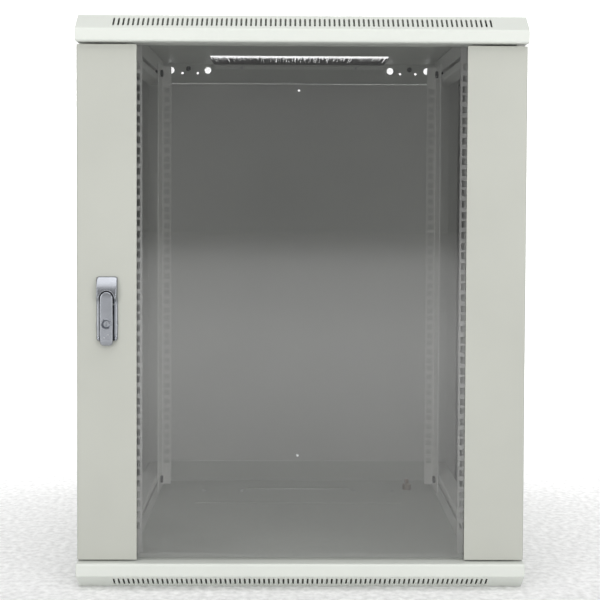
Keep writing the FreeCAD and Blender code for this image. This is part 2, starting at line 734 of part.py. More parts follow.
def hinge_spring():
    """Coil that pushes the pin's collar up against the upper lug."""
    radius = PIN_RADIUS + 1.0 + SPRING_WIRE
    just_clear = 0.1
    low = LOWER_LUG[1] + SPRING_WIRE + just_clear
    height = COLLAR[0] - LOWER_LUG[1] - 2 * (SPRING_WIRE + just_clear)
    helix = Part.makeHelix(height / SPRING_TURNS, height, radius)
    section = Part.Wire(Part.makeCircle(SPRING_WIRE, V(radius, 0, 0), V(0, 1, 0)))
    coil = Part.Wire(helix).makePipeShell([section], True, True)
    coil.translate(V(HINGE_X, HINGE_Y, low))
    return coil


def lower_hinge_bracket():
    """Block that holds the fixed lower pin."""
    low = DOOR_BOTTOM + SHEET
    block = box(BRACKET_X, BRACKET_Y, (low, low + LOWER_BLOCK))
    return block.cut(rod((HINGE_X, HINGE_Y, low - 1), (0, 0, 1), PIN_RADIUS, LOWER_BLOCK + 2))


def lower_hinge_pin():
    """Fixed pin that the door stands on."""
    low = CAP_HEIGHT - BUSH_LENGTH + 1
    top = DOOR_BOTTOM + SHEET + LOWER_BLOCK
    return rod((HINGE_X, HINGE_Y, low), (0, 0, 1), PIN_RADIUS, top - low)


def hinge_washer():
    """Nylon washer in the gap under the door."""
    rub = 0.05
    return ring((HINGE_X, HINGE_Y, CAP_HEIGHT + rub), (0, 0, 1), BUSH_RADIUS,
                PIN_RADIUS + RUNNING, DOOR_GAP - rub)


def hinge_bush():
    """Bush in the lower ledge that a pin turns in."""
    return ring((HINGE_X, HINGE_Y, CAP_HEIGHT), (0, 0, -1), BUSH_RADIUS,
                PIN_RADIUS + RUNNING, BUSH_LENGTH)


save("upper_hinge_bracket", upper_hinge_bracket())
save("upper_hinge_pin", upper_hinge_pin())
save("hinge_spring", hinge_spring())
save("lower_hinge_bracket", lower_hinge_bracket())
save("lower_hinge_pin", lower_hinge_pin())
save("hinge_washers", hinge_washer(), upside_down(hinge_washer()))
save("hinge_bushes", hinge_bush(), upside_down(hinge_bush()))

# ---- door lock ------------------------------------------------------------------------
FORK_HALF = 3.0
FORK_DEPTH = 2.4
CROSS_PIN_RADIUS = 1.0
CROSS_PIN_HALF = 6.9
RECESS_RADIUS = 9.9
BOSS_LENGTH = 14.0
HOOD_GAP = 1.3              # between the hood and the lever's head
HOOD_ROUND = 1.8
SPINDLE_BODY = 27.0
SEAT_HALF = 4.0
MARK_RADIUS = 1.0
MARKS = ((-2.6, 18.0), (2.6, 14.2))   # two dimples: sideways, and below the key
CAM_HALF = 7.5
CAM_SHEET = 2.5
CAM_BACK = 8.0
CAM_HEAD_FLATS = 12.0
CAM_HEAD = 3.0
CATCH_REACH = 7.6
CATCH_ROOM = 7.9
KEYWAY_HALF = (0.8, 3.6)
CLAMP_PLATE = 2.0
CLAMP_PLATE_HALF = 12.5


def out(height):
    """Y of a height above the door's skin."""
    return DOOR_FRONT - height


def lock_plate(half_width, bottom, top, heights, radius):
    """Block on the stile with rounded corners in front view."""
    corners = [(LOCK_X - half_width, bottom), (LOCK_X + half_width, bottom),
               (LOCK_X + half_width, top), (LOCK_X - half_width, top)]
    low, high = heights
    face = rounded_face(corners, radius, lambda x, z: V(x, out(low), z))
    return face.extrude(V(0, low - high, 0))


def lock_base():
    """Base plate with a raised hood over the lever and a boss through the stile."""
    half = BASE_WIDTH / 2
    plate = lock_plate(half, BASE_BOTTOM, BASE_TOP, (0, BASE_PLATE), [4, 4, 3, 3])
    hood_bottom = LEVER_Z + LEVER_RADIUS + HOOD_GAP
    hood = lock_plate(half - 1.0, hood_bottom, BASE_TOP, (0, HOOD_HEIGHT), [0, 0, 3, 3])
    boss = rod((LOCK_X, out(0), LEVER_Z), (0, 1, 0), BOSS_RADIUS, BOSS_LENGTH)
    body = plate.fuse([hood, boss]).removeSplitter()
    front_edges = [edge for edge in body.Edges
                   if edge.BoundBox.YMax < out(HOOD_HEIGHT) + 0.01 and edge.BoundBox.ZMax > hood_bottom + 1]
    body = body.makeFillet(HOOD_ROUND, front_edges)
    bore = rod((LOCK_X, out(20), LEVER_Z), (0, 1, 0), SPINDLE_RADIUS + RUNNING, 40.0)
    recess = rod((LOCK_X, out(BASE_PLATE + 10), LEVER_Z), (0, 1, 0), RECESS_RADIUS, BASE_PLATE + 12.0)
    cutters = [bore, recess]
    for level in CLAMP_SCREW_LEVELS:
        cutters.append(rod((LOCK_X, out(2.4), level), (0, 1, 0), SCREW_RADIUS, 5.0))
    return body.cut(cutters)


def lever_blank(low, high):
    """Lever shape between two heights above the skin: a round head and a long tail."""
    head = rod((LOCK_X, out(low), LEVER_Z), (0, -1, 0), LEVER_RADIUS, high - low)
    tail = lock_plate(LEVER_RADIUS, LEVER_END, LEVER_Z, (low, high), [5.5, 5.5, 0, 0])
    return head.fuse(tail).removeSplitter()


def lock_lever():
    """Swing lever with its key boss, fork slot and cross-pin hole."""
    boss = rod((LOCK_X, out(LEVER_FRONT - 1), KEY_Z), (0, -1, 0), KEY_RADIUS + 1.6, 1.6)
    rim = 0.8
    blank = lever_blank(LEVER_BACK, LEVER_FRONT)
    front_edges = [edge for edge in blank.Edges if edge.BoundBox.YMax < out(LEVER_FRONT) + 0.01]
    body = blank.makeFillet(rim, front_edges).fuse(boss).removeSplitter()
    bore = rod((LOCK_X, out(LEVER_BACK - 1), KEY_Z), (0, -1, 0), KEY_RADIUS + RUNNING, 20.0)
    catch_room = rod((LOCK_X, out(LEVER_BACK - 1), KEY_Z), (0, -1, 0), CATCH_ROOM, 3.2)
    fork_room = FORK_HALF + 2 * RUNNING
    swing_room = 5.2
    skin = 0.9
    slot = box((LOCK_X - fork_room, LOCK_X + fork_room), (out(LEVER_BACK - 1), out(LEVER_FRONT - skin)),
               (LEVER_Z - swing_room, LEVER_Z + swing_room))
    pin_hole = rod((LOCK_X - CROSS_PIN_HALF, out(LEVER_PIN), LEVER_Z), (1, 0, 0),
                   CROSS_PIN_RADIUS, 2 * CROSS_PIN_HALF)
    marks = [rod((LOCK_X + across, out(LEVER_FRONT - 0.4), KEY_Z - below), (0, -1, 0), MARK_RADIUS, 2)
             for across, below in MARKS]
    return body.cut([bore, catch_room, slot, pin_hole] + marks)


def lock_spindle():
    """Spindle with a flat tongue that carries the lever and a square cam seat."""
    body = rod((LOCK_X, out(SPINDLE_TOP), LEVER_Z), (0, 1, 0), SPINDLE_RADIUS, SPINDLE_BODY)
    seat = box((LOCK_X - SEAT_HALF, LOCK_X + SEAT_HALF),
               (out(SPINDLE_TOP - SPINDLE_BODY + 1), out(SPINDLE_END)),
               (LEVER_Z - SEAT_HALF, LEVER_Z + SEAT_HALF))
    tongue = box((LOCK_X - FORK_HALF, LOCK_X + FORK_HALF), (out(SPINDLE_TOP - 1), out(LEVER_PIN)),
                 (LEVER_Z - FORK_DEPTH, LEVER_Z + FORK_DEPTH))
    nose = rod((LOCK_X - FORK_HALF, out(LEVER_PIN), LEVER_Z), (1, 0, 0), FORK_DEPTH, 2 * FORK_HALF)
    hole = rod((LOCK_X - CROSS_PIN_HALF, out(LEVER_PIN), LEVER_Z), (1, 0, 0),
               CROSS_PIN_RADIUS + RUNNING, 2 * CROSS_PIN_HALF)
    return body.fuse([seat, tongue, nose]).removeSplitter().cut(hole)


def lock_cam():
    """Cam plate on the spindle's square, pointing at the post."""
    corners = [(LOCK_X - CAM_LENGTH, LEVER_Z - CAM_HALF), (LOCK_X + CAM_BACK, LEVER_Z - CAM_HALF),
               (LOCK_X + CAM_BACK, LEVER_Z + CAM_HALF), (LOCK_X - CAM_LENGTH, LEVER_Z + CAM_HALF)]
    plate = rounded_face(corners, [3, 5, 5, 3], lambda x, z: V(x, out(SPINDLE_END + 0.5), z))
    plate = plate.extrude(V(0, -CAM_SHEET, 0))
    square = box((LOCK_X - SEAT_HALF, LOCK_X + SEAT_HALF), (out(SPINDLE_END + 6), out(SPINDLE_END - 1)),
                 (LEVER_Z - SEAT_HALF, LEVER_Z + SEAT_HALF))
    return plate.cut(square)


def cam_screw():
    """Screw and washer head that keep the cam on the spindle."""
    return hexagon((LOCK_X, out(SPINDLE_END), LEVER_Z), (0, 1, 0), CAM_HEAD_FLATS, CAM_HEAD)


def key_cylinder():
    """Key cylinder with its keyway and a small catch at the back."""
    back = LEVER_BACK + 0.2
    face = back + 7.0
    half_wide, half_long = KEYWAY_HALF
    body = rod((LOCK_X, out(back), KEY_Z), (0, -1, 0), KEY_RADIUS, face - back)
    catch = box((LOCK_X - 2.0, LOCK_X + 2.0), (out(back), out(back + 1.6)),
                (KEY_Z - CATCH_REACH, KEY_Z))
    keyway = box((LOCK_X - half_wide, LOCK_X + half_wide), (out(face - 2.0), out(face + 1)),
                 (KEY_Z - half_long, KEY_Z + half_long))
    return body.fuse(catch).removeSplitter().cut(keyway)


def lock_clamp():
    """Plate behind the stile that the lock is screwed against."""
    plate = lock_plate(CLAMP_PLATE_HALF, BASE_BOTTOM + 3, BASE_TOP - 3,
                       (-SHEET - CLAMP_PLATE, -SHEET), [2, 2, 2, 2])
    cutters = [rod((LOCK_X, out(0), LEVER_Z), (0, 1, 0), BOSS_RADIUS, 10.0)]
    for level in CLAMP_SCREW_LEVELS:
        cutters.append(rod((LOCK_X, out(0), level), (0, 1, 0), SCREW_RADIUS, 10.0))
    return plate.cut(cutters)


def lock_clamp_screws():
    """Two screws from behind into the lock base."""
    screws = []
    back = out(-SHEET - CLAMP_PLATE)
    reach = 2.4             # how far a screw's tip goes in past the door's skin
    length = SHEET + CLAMP_PLATE + reach
    for level in CLAMP_SCREW_LEVELS:
        head = rod((LOCK_X, back, level), (0, 1, 0), SCREW_HEAD_RADIUS - 0.5, 2.4)
        screws.append(head.fuse(rod((LOCK_X, back, level), (0, -1, 0), SCREW_RADIUS, length)))
    return screws


save("lock_base", lock_base())
save("lock_lever", lock_lever())
save("lever_pin", rod((LOCK_X - CROSS_PIN_HALF, out(LEVER_PIN), LEVER_Z), (1, 0, 0),
                      CROSS_PIN_RADIUS, 2 * CROSS_PIN_HALF))
save("lock_spindle", lock_spindle())
save("lock_cam", lock_cam())
save("cam_screw", cam_screw())
save("key_cylinder", key_cylinder())
save("lock_clamp", lock_clamp())
save("lock_clamp_screws", *lock_clamp_screws())

# ---- side panels ------------------------------------------------------------------------
PANEL_LOCK_RADIUS = 8.0
COIN_SLOT = (1.8, 11.0, 1.2)          # width, length and depth
PANEL_CAM_SHEET = 2.0
PANEL_CAM_HALF = 6.0
PANEL_CAM_GAP = 0.6                   # between the cam's tip and the roof's side wall


def side_panel():
    """Right side panel: a shallow pan with a hole for its lock."""
    low = CAP_HEIGHT + PANEL_GAP
    high = HEIGHT - CAP_HEIGHT - PANEL_GAP
    outer = box((PANEL_OUTER - PANEL_RETURN, PANEL_OUTER), (PANEL_FRONT, PANEL_REAR), (low, high))
    inner = box((PANEL_OUTER - PANEL_RETURN - 1, PANEL_OUTER - PANEL_SHEET),
                (PANEL_FRONT + PANEL_SHEET, PANEL_REAR - PANEL_SHEET),
                (low + PANEL_SHEET, high - PANEL_SHEET))
    hole = rod((PANEL_OUTER - 5, 0, PANEL_LOCK_Z), (1, 0, 0), PANEL_LOCK_RADIUS + RUNNING, 10)
    return outer.cut([inner, hole])


def panel_lock():
    """Quarter-turn barrel with a coin slot in its face."""
    face = SIDE
    barrel = rod((face, 0, PANEL_LOCK_Z), (-1, 0, 0), PANEL_LOCK_RADIUS, face - PANEL_CAM_X)
    wide, long, deep = COIN_SLOT
    slot = box((face - deep, face + 1), (-wide / 2, wide / 2),
               (PANEL_LOCK_Z - long / 2, PANEL_LOCK_Z + long / 2))
    return barrel.cut(slot)


def panel_cam():
    """Cam on the barrel that points up towards the roof's side wall."""
    reach = HEIGHT - CAP_HEIGHT - PANEL_CAM_GAP
    heel = PANEL_LOCK_Z - PANEL_LOCK_RADIUS
    half = PANEL_CAM_HALF
    corners = [(-half, heel), (half, heel), (half, reach), (-half, reach)]
    plate = rounded_face(corners, [4, 4, 2, 2], lambda y, z: V(PANEL_CAM_X - PANEL_CAM_SHEET, y, z))
    return plate.extrude(V(PANEL_CAM_SHEET, 0, 0))


save("right_side_panel", side_panel())
save("left_side_panel", mirrored(side_panel()))
save("right_panel_lock", panel_lock())
save("left_panel_lock", mirrored(panel_lock()))
save("right_panel_cam", panel_cam())
save("left_panel_cam", mirrored(panel_cam()))
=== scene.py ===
# %% [markdown]
# # A wall-hung network cabinet
# The cabinet is sheet steel, folded and powder coated, with a tinted glass door on the
# right-hand pins and a chromed swing lever on the left. The CAD frame already holds every
# sheet, rail and pin at its true size. This lesson gives those parts their finishes, and
# makes again, with more care, the small pieces whose shape a fold or a cylinder can't give:
# the cast lock, the brush, the screws, the seals and the earth stud.

# %% load the frame
import json
import random
from math import atan2, cos, pi, radians, sin

import bmesh
import bpy
from mathutils import Matrix, Vector


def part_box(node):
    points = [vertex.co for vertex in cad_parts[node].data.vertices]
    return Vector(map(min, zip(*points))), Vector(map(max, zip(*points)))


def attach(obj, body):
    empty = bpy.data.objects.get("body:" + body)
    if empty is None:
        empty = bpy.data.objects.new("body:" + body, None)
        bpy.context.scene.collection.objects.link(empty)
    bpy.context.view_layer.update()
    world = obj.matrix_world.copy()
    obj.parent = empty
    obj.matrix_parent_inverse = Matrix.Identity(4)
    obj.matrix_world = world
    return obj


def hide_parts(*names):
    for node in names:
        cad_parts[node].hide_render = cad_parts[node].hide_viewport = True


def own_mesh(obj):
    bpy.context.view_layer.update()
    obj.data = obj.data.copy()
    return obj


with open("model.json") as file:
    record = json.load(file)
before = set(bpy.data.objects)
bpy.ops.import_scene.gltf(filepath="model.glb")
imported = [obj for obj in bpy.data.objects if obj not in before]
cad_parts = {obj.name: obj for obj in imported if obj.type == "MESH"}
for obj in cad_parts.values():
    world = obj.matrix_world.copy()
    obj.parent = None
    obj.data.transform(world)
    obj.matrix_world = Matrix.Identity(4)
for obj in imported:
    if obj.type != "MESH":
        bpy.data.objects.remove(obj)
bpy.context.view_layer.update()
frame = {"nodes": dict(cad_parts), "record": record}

nodes = frame["nodes"]
MM = 0.001

# %% [markdown]
# ## Camera
# A catalogue view: straight on, a little above the middle, from about one and a half metres.
# The back of the camera stays nearly upright and the picture is shifted down instead, as an
# architect's camera does, so the posts stay almost parallel.

# %% camera
CAMERA_PLACE = Vector((-0.0166, -1.843, 0.5348))
CAMERA_LENS = 70.0
CAMERA_DOWN = 0.0304
CAMERA_LEFT = -0.0102
CAMERA_ROLL = 0.0041
CAMERA_SHIFT = (-0.0021, -0.1211)

camera_data = bpy.data.cameras.new("camera")
camera_data.lens = CAMERA_LENS
camera_data.sensor_width = 36.0
camera_data.shift_x, camera_data.shift_y = CAMERA_SHIFT
camera = bpy.data.objects.new("camera", camera_data)
bpy.context.scene.collection.objects.link(camera)
turn = Matrix.Rotation(CAMERA_LEFT, 4, "Z") @ Matrix.Rotation(pi / 2 - CAMERA_DOWN, 4, "X")
camera.matrix_world = Matrix.Translation(CAMERA_PLACE) @ turn @ Matrix.Rotation(CAMERA_ROLL, 4, "Z")
bpy.context.scene.camera = camera

# %% [markdown]
# ## Stage
# A plain pale sweep: the floor runs back and curves up behind the cabinet with no corner, so
# there is no horizon line. One bent sheet is simpler than a floor and a wall that must match.

# %% helper: put a mesh in the scene
def add_object(name, mesh):
    """Link a mesh as an object that sits at the origin."""
    made = bpy.data.objects.new(name, mesh)
    bpy.context.scene.collection.objects.link(made)
    return made


# %% sweep
SWEEP_HALF_WIDTH = 9.0
SWEEP_FRONT = -14.0
SWEEP_BACK = 3.0
SWEEP_RADIUS = 1.5
SWEEP_TOP = 6.0


def make_sweep():
    """A floor line that is swung up a quarter turn, then drawn upwards."""
    bm = bmesh.new()
    row = [bm.verts.new((side * SWEEP_HALF_WIDTH, SWEEP_FRONT, 0)) for side in (-1, 1)]
    edge = bm.edges.new(row)
    floor = bmesh.ops.extrude_edge_only(bm, edges=[edge])["geom"]
    moved = [v for v in floor if isinstance(v, bmesh.types.BMVert)]
    bmesh.ops.translate(bm, verts=moved, vec=(0, SWEEP_BACK - SWEEP_FRONT, 0))
    back_edge = [e for e in floor if isinstance(e, bmesh.types.BMEdge)
                 and all(v.co.y > SWEEP_BACK - MM for v in e.verts)]
    curve = bmesh.ops.spin(bm, geom=back_edge, cent=(0, SWEEP_BACK, SWEEP_RADIUS), axis=(1, 0, 0),
                           angle=pi / 2, steps=24)
    last = [e for e in curve["geom_last"] if isinstance(e, bmesh.types.BMEdge)]
    wall = bmesh.ops.extrude_edge_only(bm, edges=last)["geom"]
    raised = [v for v in wall if isinstance(v, bmesh.types.BMVert)]
    bmesh.ops.translate(bm, verts=raised, vec=(0, 0, SWEEP_TOP - SWEEP_RADIUS))
    mesh = bpy.data.meshes.new("studio_sweep")
    bm.to_mesh(mesh)
    bm.free()
    mesh.shade_smooth()
    return add_object("studio_sweep", mesh)


sweep = make_sweep()
print("sweep", len(sweep.data.polygons), "faces")

# %% [markdown]
# ## Finishes
# Each finish is one Principled shader with two patterns: a fine one for the surface itself,
# which moves the roughness and a bump, and a broad one that shifts the colour a little, as
# real coating, plating and moulding do. All of them read Object coordinates, so a pattern
# has the same grain in millimetres on every part.

# %% helper: start a material
def start_material(name, colour, roughness, metallic=0.0):
    """A Principled material with Object coordinates ready to feed its patterns."""
    material = bpy.data.materials.new(name)
    material.use_nodes = True
    tree = material.node_tree
    shader = tree.nodes["Principled BSDF"]
    shader.inputs["Base Color"].default_value = (*colour, 1)
    shader.inputs["Roughness"].default_value = roughness
    shader.inputs["Metallic"].default_value = metallic
    place = tree.nodes.new("ShaderNodeTexCoord")
    return material, tree, shader, place.outputs["Object"]


def add_noise(tree, coordinates, grain_mm, detail=2.0, stretch=(1, 1, 1)):
    """Noise whose bumps are about grain_mm apart, drawn out along an axis by stretch."""
    mapping = tree.nodes.new("ShaderNodeMapping")
    mapping.inputs["Scale"].default_value = stretch
    noise = tree.nodes.new("ShaderNodeTexNoise")
    noise.inputs["Scale"].default_value = 1 / (grain_mm * MM)
    noise.inputs["Detail"].default_value = detail
    tree.links.new(coordinates, mapping.inputs["Vector"])
    tree.links.new(mapping.outputs["Vector"], noise.inputs["Vector"])
    return noise.outputs["Fac"]


def add_range(tree, value, low, high):
    """Stretch a 0.3 to 0.7 noise value to the range low to high."""
    stretch = tree.nodes.new("ShaderNodeMapRange")
    stretch.inputs["From Min"].default_value = 0.3
    stretch.inputs["From Max"].default_value = 0.7
    stretch.inputs["To Min"].default_value = low
    stretch.inputs["To Max"].default_value = high
    tree.links.new(value, stretch.inputs["Value"])
    return stretch.outputs["Result"]


def add_two_tones(tree, value, first, second, socket):
    """Blend between two colours by a pattern."""
    mix = tree.nodes.new("ShaderNodeMix")
    mix.data_type = "RGBA"
    mix.inputs[6].default_value = (*first, 1)
    mix.inputs[7].default_value = (*second, 1)
    tree.links.new(value, mix.inputs[0])
    tree.links.new(mix.outputs[2], socket)


def add_bump(tree, shader, height, depth_mm, strength=1.0):
    """Bump from a pattern, depth_mm high."""
    bump = tree.nodes.new("ShaderNodeBump")
    bump.inputs["Strength"].default_value = strength
    bump.inputs["Distance"].default_value = depth_mm * MM
    tree.links.new(height, bump.inputs["Height"])
    tree.links.new(bump.outputs["Normal"], shader.inputs["Normal"])


def shade(colour, factor):
    """The same colour, lighter or darker."""
    return tuple(min(1.0, part * factor) for part in colour)


# %% [markdown]
# ### Powder coat
# Powder coat is a melted plastic film with a faint orange-peel texture about a millimetre
# across. The sheen comes from a middling roughness; the peel is a shallow bump, and the film
# thickness drifts over the sheet, which shows as a very slight change of tone.

# %% powder coat
def powder_coat(name, colour, roughness, peel_mm=0.02):
    """Orange-peel paint film on sheet steel."""
    material, tree, shader, place = start_material(name, colour, roughness)
    peel = add_noise(tree, place, 1.1)
    drift = add_noise(tree, place, 140.0, detail=3.0)
    tone = add_range(tree, drift, 0, 1)
    add_two_tones(tree, tone, shade(colour, 0.97), shade(colour, 1.02), shader.inputs["Base Color"])
    tree.links.new(add_range(tree, peel, roughness - 0.05, roughness + 0.06), shader.inputs["Roughness"])
    add_bump(tree, shader, peel, peel_mm)
    shader.inputs["Specular IOR Level"].default_value = 0.45
    return material


CAP_COLOUR = (0.635, 0.658, 0.617)
DOOR_COLOUR = (0.440, 0.449, 0.406)
FRAME_COLOUR = (0.74, 0.75, 0.725)
RAIL_COLOUR = (0.86, 0.865, 0.84)

cap_paint = powder_coat("cap_powder_coat", CAP_COLOUR, 0.42)
door_paint = powder_coat("door_powder_coat", DOOR_COLOUR, 0.48)
frame_paint = powder_coat("frame_powder_coat", FRAME_COLOUR, 0.52)
rail_paint = powder_coat("rail_powder_coat", RAIL_COLOUR, 0.45)

# %% [markdown]
# ### Tinted glass
# The pane is toughened glass with a grey body tint. Light that passes straight through a
# clear film needs no refraction, so the pane is a dark, mirror-smooth surface that covers
# part of what is behind it. This keeps the inside of the cabinet free of noise. A faint
# broad noise in the roughness is the film of handling that any glass door carries.

# %% glass
GLASS_TINT = (0.020, 0.020, 0.019)
GLASS_COVER = 0.25


def tinted_glass():
    """Smooth grey pane that lets part of the light straight through."""
    material, tree, shader, place = start_material("smoked_glass", GLASS_TINT, 0.03)
    haze = add_noise(tree, place, 60.0, detail=4.0)
    tree.links.new(add_range(tree, haze, 0.015, 0.05), shader.inputs["Roughness"])
    shader.inputs["Alpha"].default_value = GLASS_COVER
    shader.inputs["IOR"].default_value = 2.0
    shader.inputs["Specular IOR Level"].default_value = 1.0
    shader.inputs["Coat Weight"].default_value = 1.0
    shader.inputs["Coat IOR"].default_value = 2.0
    shader.inputs["Coat Roughness"].default_value = 0.02
    return material


glass = tinted_glass()

# %% [markdown]
# ### Metals, rubber and plastics
# Satin chrome over die-cast zinc is a soft, bluish grey with wide highlights, not a mirror.
# Zinc plate is paler and has a fine crystalline grain. Black oxide is a thin, oily skin.
# Foam rubber is full of small cells, and nylon is slightly waxy.

# %% metals
def plated(name, colour, roughness, grain_mm, depth_mm, stretch=(1, 1, 1)):
    """Metal with a fine grain in its roughness and a shallow bump."""
    material, tree, shader, place = start_material(name, colour, roughness, metallic=1.0)
    grain = add_noise(tree, place, grain_mm, detail=3.0, stretch=stretch)
    cloud = add_noise(tree, place, 12.0, detail=2.0)
    tone = add_range(tree, cloud, 0, 1)
    add_two_tones(tree, tone, shade(colour, 0.95), shade(colour, 1.03), shader.inputs["Base Color"])
    tree.links.new(add_range(tree, grain, roughness - 0.04, roughness + 0.05), shader.inputs["Roughness"])
    add_bump(tree, shader, grain, depth_mm)
    return material


chrome = plated("satin_chrome", (0.36, 0.375, 0.405), 0.24, 0.25, 0.0008)
zinc = plated("zinc_plate", (0.60, 0.61, 0.63), 0.34, 0.5, 0.004)
black_oxide = plated("black_oxide", (0.035, 0.035, 0.038), 0.40, 0.4, 0.004)
brass = plated("tarnished_brass", (0.46, 0.39, 0.31), 0.36, 0.6, 0.004)


# %% rubber and plastics
def moulded(name, colour, roughness, grain_mm, depth_mm):
    """Plastic or rubber with a fine moulded skin."""
    material, tree, shader, place = start_material(name, colour, roughness)
    grain = add_noise(tree, place, grain_mm, detail=3.0)
    cloud = add_noise(tree, place, 9.0)
    tone = add_range(tree, cloud, 0, 1)
    add_two_tones(tree, tone, shade(colour, 0.85), shade(colour, 1.12), shader.inputs["Base Color"])
    tree.links.new(add_range(tree, grain, roughness - 0.08, roughness + 0.08), shader.inputs["Roughness"])
    add_bump(tree, shader, grain, depth_mm)
    return material


foam_rubber = moulded("foam_rubber", (0.022, 0.022, 0.023), 0.85, 0.35, 0.06)
nylon = moulded("white_nylon", (0.80, 0.80, 0.77), 0.45, 0.5, 0.01)
bristle_nylon = moulded("bristle_nylon", (0.012, 0.012, 0.013), 0.42, 0.2, 0.01)
floor_paint = moulded("pale_sweep", (0.88, 0.88, 0.88), 0.85, 6.0, 0.02)
sweep.data.materials.append(floor_paint)

finish_of_slot = {
    "cap_paint": cap_paint,
    "door_paint": door_paint,
    "frame_paint": frame_paint,
    "rail_paint": rail_paint,
    "smoked_glass": glass,
    "chromed_zinc": chrome,
    "zinc_plate": zinc,
    "black_steel": black_oxide,
    "black_rubber": foam_rubber,
    "white_nylon": nylon,
    "black_bristle": bristle_nylon,
    "copper_brass": brass,
}
print("finishes", len(finish_of_slot))

# %% put each finish on the CAD nodes that have its slot
slot_of_node = {part["node"]: part["material_slot"] for part in frame["record"]["subparts"]}
for name, node in nodes.items():
    for holder in node.material_slots:
        holder.material = finish_of_slot[slot_of_node[name]]
print("painted", len(nodes), "CAD nodes")

# %% [markdown]
# ## Tools for small hardware
# Most small hardware is turned or pressed: a profile spun round an axis, or a flat outline
# drawn out and softened. Two helpers make those two kinds of shape upright at the origin,
# and a third turns and moves them into place in the mesh itself, so that every finished
# object still sits at the origin.

# %% helper: turned shapes
def turned(bm, profile, steps=32):
    """Spin a profile of (radius, height) points round the Z axis into a closed shape."""
    points = [bm.verts.new((radius * MM, 0, height * MM)) for radius, height in profile]
    edges = [bm.edges.new(pair) for pair in zip(points, points[1:])]
    bmesh.ops.spin(bm, geom=points + edges, cent=(0, 0, 0), axis=(0, 0, 1), angle=2 * pi,
                   steps=steps, use_merge=True)
    bmesh.ops.remove_doubles(bm, verts=bm.verts, dist=1e-6)
    bmesh.ops.recalc_face_normals(bm, faces=bm.faces)


def ring_profile(outer, inner, low, high, soft):
    """Closed section of a washer or bush, with softened corners."""
    return [(inner, low), (outer - soft, low), (outer, low + soft), (outer, high - soft),
            (outer - soft, high), (inner + soft, high), (inner, high - soft), (inner, low)]


# %% helper: pressed outlines
def rounded_slab(bm, size, thickness, corners, edge, segments=3):
    """Rectangle with rounded corners, drawn up to a thickness, its top edge softened.

    corners gives the radius of each corner: left front, right front, right back, left back."""
    half_x, half_y = size[0] / 2 * MM, size[1] / 2 * MM
    points = [bm.verts.new(place) for place in
              ((-half_x, -half_y, 0), (half_x, -half_y, 0), (half_x, half_y, 0), (-half_x, half_y, 0))]
    bm.faces.new(points)
    for corner, radius in zip(points, corners):
        if radius:
            bmesh.ops.bevel(bm, geom=[corner], offset=radius * MM, affect="VERTICES", segments=10,
                            profile=0.5, material=-1)
    grown = bmesh.ops.extrude_face_region(bm, geom=bm.faces[:])["geom"]
    top = [item for item in grown if isinstance(item, bmesh.types.BMVert)]
    bmesh.ops.translate(bm, verts=top, vec=(0, 0, thickness * MM))
    bmesh.ops.recalc_face_normals(bm, faces=bm.faces)
    if edge:
        rim = [e for e in bm.edges if all(v.co.z > (thickness - 0.01) * MM for v in e.verts)
               and len(e.link_faces) == 2 and e.calc_face_angle(0) > 0.5]
        bmesh.ops.bevel(bm, geom=rim, offset=edge * MM, affect="EDGES", segments=segments,
                        profile=0.5, material=-1, clamp_overlap=True)


# %% helper: place and finish
def facing(direction, place=(0, 0, 0)):
    """Matrix that turns +Z to a direction and moves the origin to a place in metres."""
    return Matrix.Translation(Vector(place)) @ Vector((0, 0, 1)).rotation_difference(
        Vector(direction)).to_matrix().to_4x4()


def copies(bm, places):
    """Repeat everything in the bmesh at each matrix, in place of the original."""
    original = bm.verts[:] + bm.edges[:] + bm.faces[:]
    for place in places:
        copy = bmesh.ops.duplicate(bm, geom=original)["geom"]
        moved = [item for item in copy if isinstance(item, bmesh.types.BMVert)]
        bmesh.ops.transform(bm, matrix=place, verts=moved)
    bmesh.ops.delete(bm, geom=[item for item in original if isinstance(item, bmesh.types.BMVert)],
                     context="VERTS")


def finish_piece(name, bm, finish, body, stands_for=(), sharp=35):
    """Turn a bmesh into a finished piece that rides on a body."""
    mesh = bpy.data.meshes.new(name)
    bm.to_mesh(mesh)
    bm.free()
    mesh.shade_smooth()
    mesh.set_sharp_from_angle(angle=radians(sharp))
    mesh.materials.append(finish)
    piece = add_object(name, mesh)
    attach(piece, body)
    if stands_for:
        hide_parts(*stands_for)
    print(name, len(mesh.polygons), "faces on", body)
    return piece


# %% [markdown]
# ## Lock
# The lock is a zinc casting. Two rails run up beside the lever and flow into a hood that
# rises over its round head. There is no straight edge to bevel in such a shape, so the base
# is a grid: rows of points run from the lever's opening out to the base's edge, and one
# formula gives the height of the casting at each point. The lever is made the same way,
# from its outline in to its middle line, so its front can be slightly crowned.

# %% lock measures, from the frame
door_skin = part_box("lock_stile")[0].y
base_low, base_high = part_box("lock_base")
lever_low, lever_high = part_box("lock_lever")
pin_low, pin_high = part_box("lever_pin")
key_low, key_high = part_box("key_cylinder")
lock_x = (base_low.x + base_high.x) / 2
lever_pivot = (pin_low.z + pin_high.z) / 2
key_centre = key_high.z - (key_high.x - key_low.x) / 2
base_half = (base_high.x - base_low.x) / 2 / MM
base_top = (base_high.z - lever_pivot) / MM
base_foot = (lever_pivot - base_low.z) / MM
lever_half = (lever_high.x - lever_low.x) / 2 / MM
lever_tail = (lever_pivot - lever_low.z) / MM
OPENING = lever_half + 1.3
EAR = 0.5
RAIL_HEIGHT = 3.1
HOOD_HEIGHT = 8.9
HOOD_FALL = 6.0
SHOULDER_START = -7.0
SHOULDER_LENGTH = 9.0
FOOT_INSET = (2.6, 3.6)
FOOT_RISE = 1.1
CHANNEL_HEIGHT = 0.8
CHANNEL_TOP = lever_half + 1.2
HEAD_HOLE_RADIUS = 7.9


